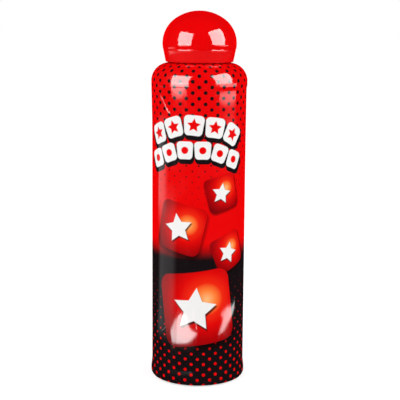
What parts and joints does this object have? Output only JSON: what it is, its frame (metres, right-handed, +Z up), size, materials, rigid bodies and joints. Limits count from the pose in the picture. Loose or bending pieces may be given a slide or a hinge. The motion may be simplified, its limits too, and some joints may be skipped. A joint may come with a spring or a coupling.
{
  "type": "bingo dauber",
  "caption": "Round ink dauber for marking bingo sheets: straight sleeved bottle with a ball-shaped screw cap over a domed foam tip on a spring valve.",
  "frame": {"origin": "centre of the base, on the plane that the bottle stands on", "axes": "+Z up along the bottle's axis towards the cap, -Y towards the front of the label"},
  "size_m": [0.0384, 0.0384, 0.1494],
  "materials": {
    "bottle_white": "blow-moulded polyethylene, satin",
    "printed_film": "glossy shrink film, red above and black below with halftone dots",
    "ink_red": "liquid ink",
    "moulding_white": "moulded polyethylene",
    "foam": "open foam, stained by ink",
    "seal_rubber": "moulded rubber",
    "spring_steel": "bright spring wire",
    "cap_red": "glossy moulded polypropylene",
    "liner_white": "foamed polyethylene"
  },
  "bodies": {
    "bottle": {"bottle": "bottle_white", "label_sleeve": "printed_film", "ink": "ink_red", "tip_housing": "moulding_white", "tip_collar": "moulding_white", "spring_cage": "moulding_white", "valve_spring": "spring_steel"},
    "tip": {"foam_tip": "foam", "valve_plunger": "moulding_white", "valve_seal": "seal_rubber", "valve_poppet": "moulding_white"},
    "liner": {"cap_liner": "liner_white"},
    "cap": {"cap": "cap_red"}
  },
  "joints": [
    {"name": "tip_press", "type": "slide", "parent": "bottle", "child": "tip", "axis": [0, 0, -1], "range_m": [0, 0.002], "stiffness_N_per_m": 400, "springref_m": -0.004, "deforming": ["valve_spring"]},
    {"name": "cap_rise", "type": "slide", "parent": "bottle", "child": "liner", "axis": [0, 0, 1], "range_m": [0, 0.02]},
    {"name": "cap_turn", "type": "hinge", "parent": "liner", "child": "cap", "pos_m": [0, 0, 0.1293], "axis": [0, 0, 1], "range_deg": [0, 900]}
  ],
  "couplings": [
    {"joint": "cap_rise", "follows": "cap_turn", "m_per_rad": 0.0012732}
  ]
}
